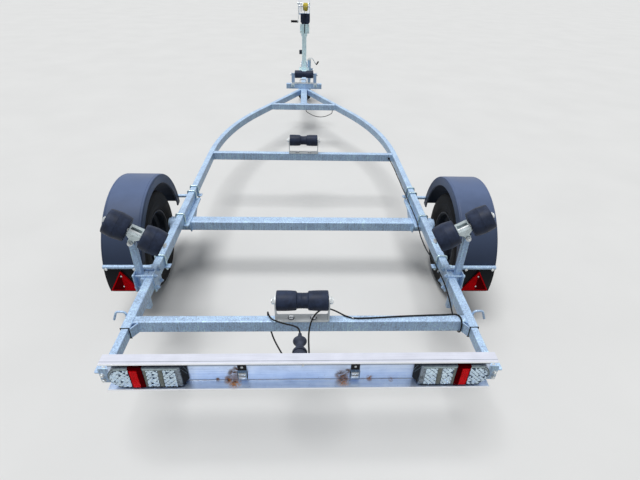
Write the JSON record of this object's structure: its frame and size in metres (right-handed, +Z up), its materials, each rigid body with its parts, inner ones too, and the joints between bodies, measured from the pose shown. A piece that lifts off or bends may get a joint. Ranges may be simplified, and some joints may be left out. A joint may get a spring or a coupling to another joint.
{
  "type": "boat trailer",
  "caption": "Single-axle boat trailer with bent rails, keel rollers, tilting side rollers, winch post, jockey wheel and a light board.",
  "frame": {"origin": "middle of the whole trailer in plan, at floor height", "axes": "+X to the right, +Y forward along the drawbar, +Z up"},
  "size_m": [2.102, 6.08, 1.332],
  "materials": {
    "galvanised": "satin",
    "zinc_bright": "satin",
    "aluminium": "satin",
    "black_plastic": "satin",
    "black_rubber": "matte",
    "tyre_rubber": "matte",
    "rim_steel": "satin",
    "lens_red": "gloss",
    "strap_yellow": "matte",
    "cable_black": "satin"
  },
  "bodies": {
    "frame": {"axle_beam": "galvanised", "board_brackets": "zinc_bright", "board_lead": "cable_black", "board_plug": "black_plastic", "bow_stop": "black_rubber", "bow_stop_bracket": "galvanised", "coupling": "galvanised", "coupling_handle": "zinc_bright", "cross_members": "galvanised", "drawbar": "galvanised", "drawbar_lead": "cable_black", "frame_bolts": "zinc_bright", "front_tie": "galvanised", "jockey_clamp": "galvanised", "jockey_handles": "zinc_bright", "jockey_tube": "galvanised", "keel_brackets": "galvanised", "lamps": "lens_red", "light_arms": "galvanised", "light_board": "aluminium", "mudguard_stays": "galvanised", "mudguards": "black_plastic", "plug_sockets": "black_plastic", "post_clamps": "zinc_bright", "post_under_plate": "zinc_bright", "rail_harness": "cable_black", "rail_left": "galvanised", "rail_right": "galvanised", "reflectors": "lens_red", "roller_pins": "zinc_bright", "roller_posts": "galvanised", "strap_hook": "strap_yellow", "swing_arms": "galvanised", "tie_down_hooks": "galvanised", "winch_frame": "galvanised", "winch_post": "galvanised"},
    "wheel_left": {"tyre_left": "tyre_rubber", "rim_left": "rim_steel", "hub_left": "zinc_bright"},
    "wheel_right": {"tyre_right": "tyre_rubber", "rim_right": "rim_steel", "hub_right": "zinc_bright"},
    "keel_roller_rear": {"keel_roller_rear": "black_rubber"},
    "keel_roller_middle": {"keel_roller_middle": "black_rubber"},
    "keel_roller_front": {"keel_roller_front": "black_rubber"},
    "cradle_left": {"roller_cradle_left": "zinc_bright", "roller_axle_left": "zinc_bright"},
    "cradle_right": {"roller_cradle_right": "zinc_bright", "roller_axle_right": "zinc_bright"},
    "side_roller_inner_left": {"side_roller_inner_left": "black_rubber"},
    "side_roller_outer_left": {"side_roller_outer_left": "black_rubber"},
    "side_roller_inner_right": {"side_roller_inner_right": "black_rubber"},
    "side_roller_outer_right": {"side_roller_outer_right": "black_rubber"},
    "winch_drum": {"winch_drum": "zinc_bright", "strap_coil": "strap_yellow"},
    "winch_crank": {"winch_crank": "zinc_bright"},
    "jockey_leg": {"jockey_leg": "galvanised"},
    "jockey_fork": {"jockey_fork": "galvanised"},
    "jockey_wheel": {"jockey_wheel": "black_rubber"}
  },
  "joints": [
    {"name": "wheel_left_spin", "type": "hinge", "parent": "frame", "child": "wheel_left", "pos_m": [-0.948, -1.855, 0.302], "axis": [1, 0, 0], "continuous": true},
    {"name": "wheel_right_spin", "type": "hinge", "parent": "frame", "child": "wheel_right", "pos_m": [0.948, -1.855, 0.302], "axis": [1, 0, 0], "continuous": true},
    {"name": "keel_roller_rear_spin", "type": "hinge", "parent": "frame", "child": "keel_roller_rear", "pos_m": [0, -2.714, 0.567], "axis": [1, 0, 0], "continuous": true},
    {"name": "keel_roller_middle_spin", "type": "hinge", "parent": "frame", "child": "keel_roller_middle", "pos_m": [0, -0.83, 0.567], "axis": [1, 0, 0], "continuous": true},
    {"name": "keel_roller_front_spin", "type": "hinge", "parent": "frame", "child": "keel_roller_front", "pos_m": [0, 1.21, 0.627], "axis": [1, 0, 0], "continuous": true},
    {"name": "cradle_left_tilt", "type": "hinge", "parent": "frame", "child": "cradle_left", "pos_m": [-0.79, -2.4, 0.655], "axis": [0, -1, 0], "range_deg": [0, 60.8]},
    {"name": "side_roller_inner_left_spin", "type": "hinge", "parent": "cradle_left", "child": "side_roller_inner_left", "pos_m": [-0.69311, -2.4, 0.65612], "axis": [-0.8625, 0, 0.506], "continuous": true},
    {"name": "side_roller_outer_left_spin", "type": "hinge", "parent": "cradle_left", "child": "side_roller_outer_left", "pos_m": [-0.83629, -2.4, 0.74013], "axis": [-0.8625, 0, 0.506], "continuous": true},
    {"name": "cradle_right_tilt", "type": "hinge", "parent": "frame", "child": "cradle_right", "pos_m": [0.774, -2.4, 0.689], "axis": [0, 1, 0], "range_deg": [0, 62.4]},
    {"name": "side_roller_inner_right_spin", "type": "hinge", "parent": "cradle_right", "child": "side_roller_inner_right", "pos_m": [0.6771, -2.4, 0.68877], "axis": [0.8554, 0, 0.518], "continuous": true},
    {"name": "side_roller_outer_right_spin", "type": "hinge", "parent": "cradle_right", "child": "side_roller_outer_right", "pos_m": [0.81909, -2.4, 0.77476], "axis": [0.8554, 0, 0.518], "continuous": true},
    {"name": "winch_drum_turn", "type": "hinge", "parent": "frame", "child": "winch_drum", "pos_m": [0.015, 2.26, 1.25], "axis": [1, 0, 0], "continuous": true},
    {"name": "winch_crank_turn", "type": "hinge", "parent": "frame", "child": "winch_crank", "pos_m": [0, 2.329, 1.28015], "axis": [1, 0, 0], "continuous": true},
    {"name": "jockey_leg_slide", "type": "slide", "parent": "frame", "child": "jockey_leg", "axis": [0, 0, 1], "range_m": [-0.1, 0.05]},
    {"name": "jockey_fork_swivel", "type": "hinge", "parent": "jockey_leg", "child": "jockey_fork", "pos_m": [0.072, 2.41, 0.23], "axis": [0, 0, 1], "continuous": true},
    {"name": "jockey_wheel_spin", "type": "hinge", "parent": "jockey_fork", "child": "jockey_wheel", "pos_m": [0.01, 2.41, 0.1], "axis": [0, 1, 0], "continuous": true}
  ],
  "couplings": [
    {"joint": "winch_crank_turn", "follows": "winch_drum_turn", "ratio": -4}
  ]
}
